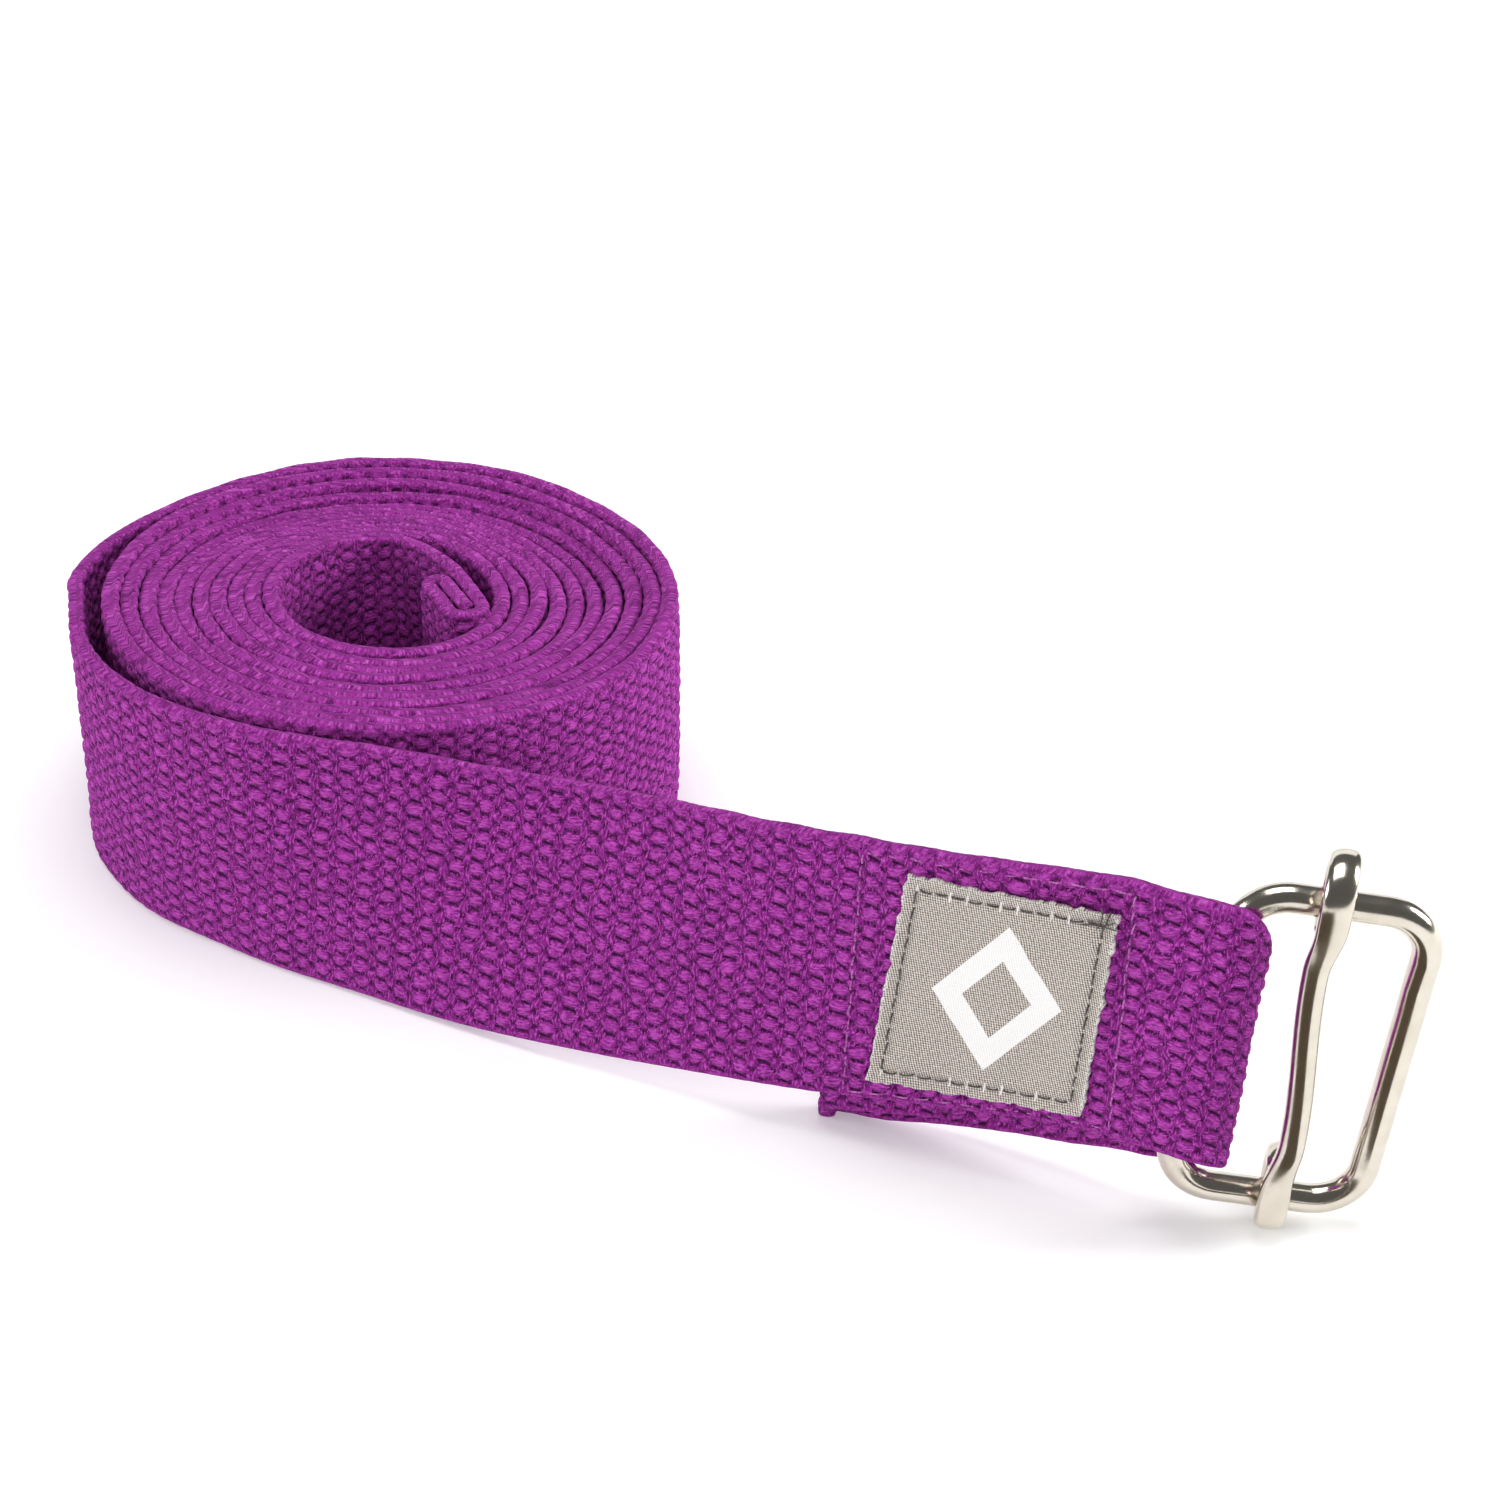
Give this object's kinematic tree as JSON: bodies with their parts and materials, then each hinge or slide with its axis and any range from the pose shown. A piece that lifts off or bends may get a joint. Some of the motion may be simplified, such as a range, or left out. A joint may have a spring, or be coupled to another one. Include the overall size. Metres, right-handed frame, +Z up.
{
  "type": "stretching strap",
  "caption": "Cotton webbing strap wound into an upright coil, its free end sewn round the bar of a nickel wire frame buckle with a sliding bar.",
  "frame": {"origin": "centre of the bounding box's footprint, on the floor that the coil stands on", "axes": "+X along the free run towards the buckle, +Y towards the back of the coil, +Z up along the axis of the coil"},
  "size_m": [0.1904, 0.1515, 0.0565],
  "materials": {
    "webbing": "coarse woven cotton webbing, wound in a coil",
    "webbing_run": "coarse woven cotton webbing, free run and loop",
    "nickel_frame": "polished nickel-plated wire frame",
    "nickel_slide": "polished nickel-plated slide bar",
    "label_tape": "taupe woven label",
    "label_yarn": "dark sewing thread",
    "seam_yarn": "matching sewing thread, front",
    "seam_yarn_back": "matching sewing thread, back",
    "hem_yarn": "matching sewing thread, inner hem"
  },
  "bodies": {
    "strap": {"webbing_coil": "webbing", "webbing_run": "webbing_run", "label": "label_tape", "label_thread": "label_yarn", "box_seam_front": "seam_yarn", "box_seam_back": "seam_yarn_back", "hem_thread": "hem_yarn"},
    "frame": {"buckle_frame": "nickel_frame"},
    "slide": {"slide_bar": "nickel_slide"}
  },
  "joints": [
    {"name": "buckle_pivot", "type": "hinge", "parent": "strap", "child": "frame", "pos_m": [0.0633, -0.0696, 0.0065], "axis": [0.1426, 0.0086, 0.9897], "range_deg": [-125, 70]},
    {"name": "bar_slide", "type": "slide", "parent": "frame", "child": "slide", "axis": [0.9898, -0.0012, -0.1426], "range_m": [-0.0015, 0.004]}
  ]
}
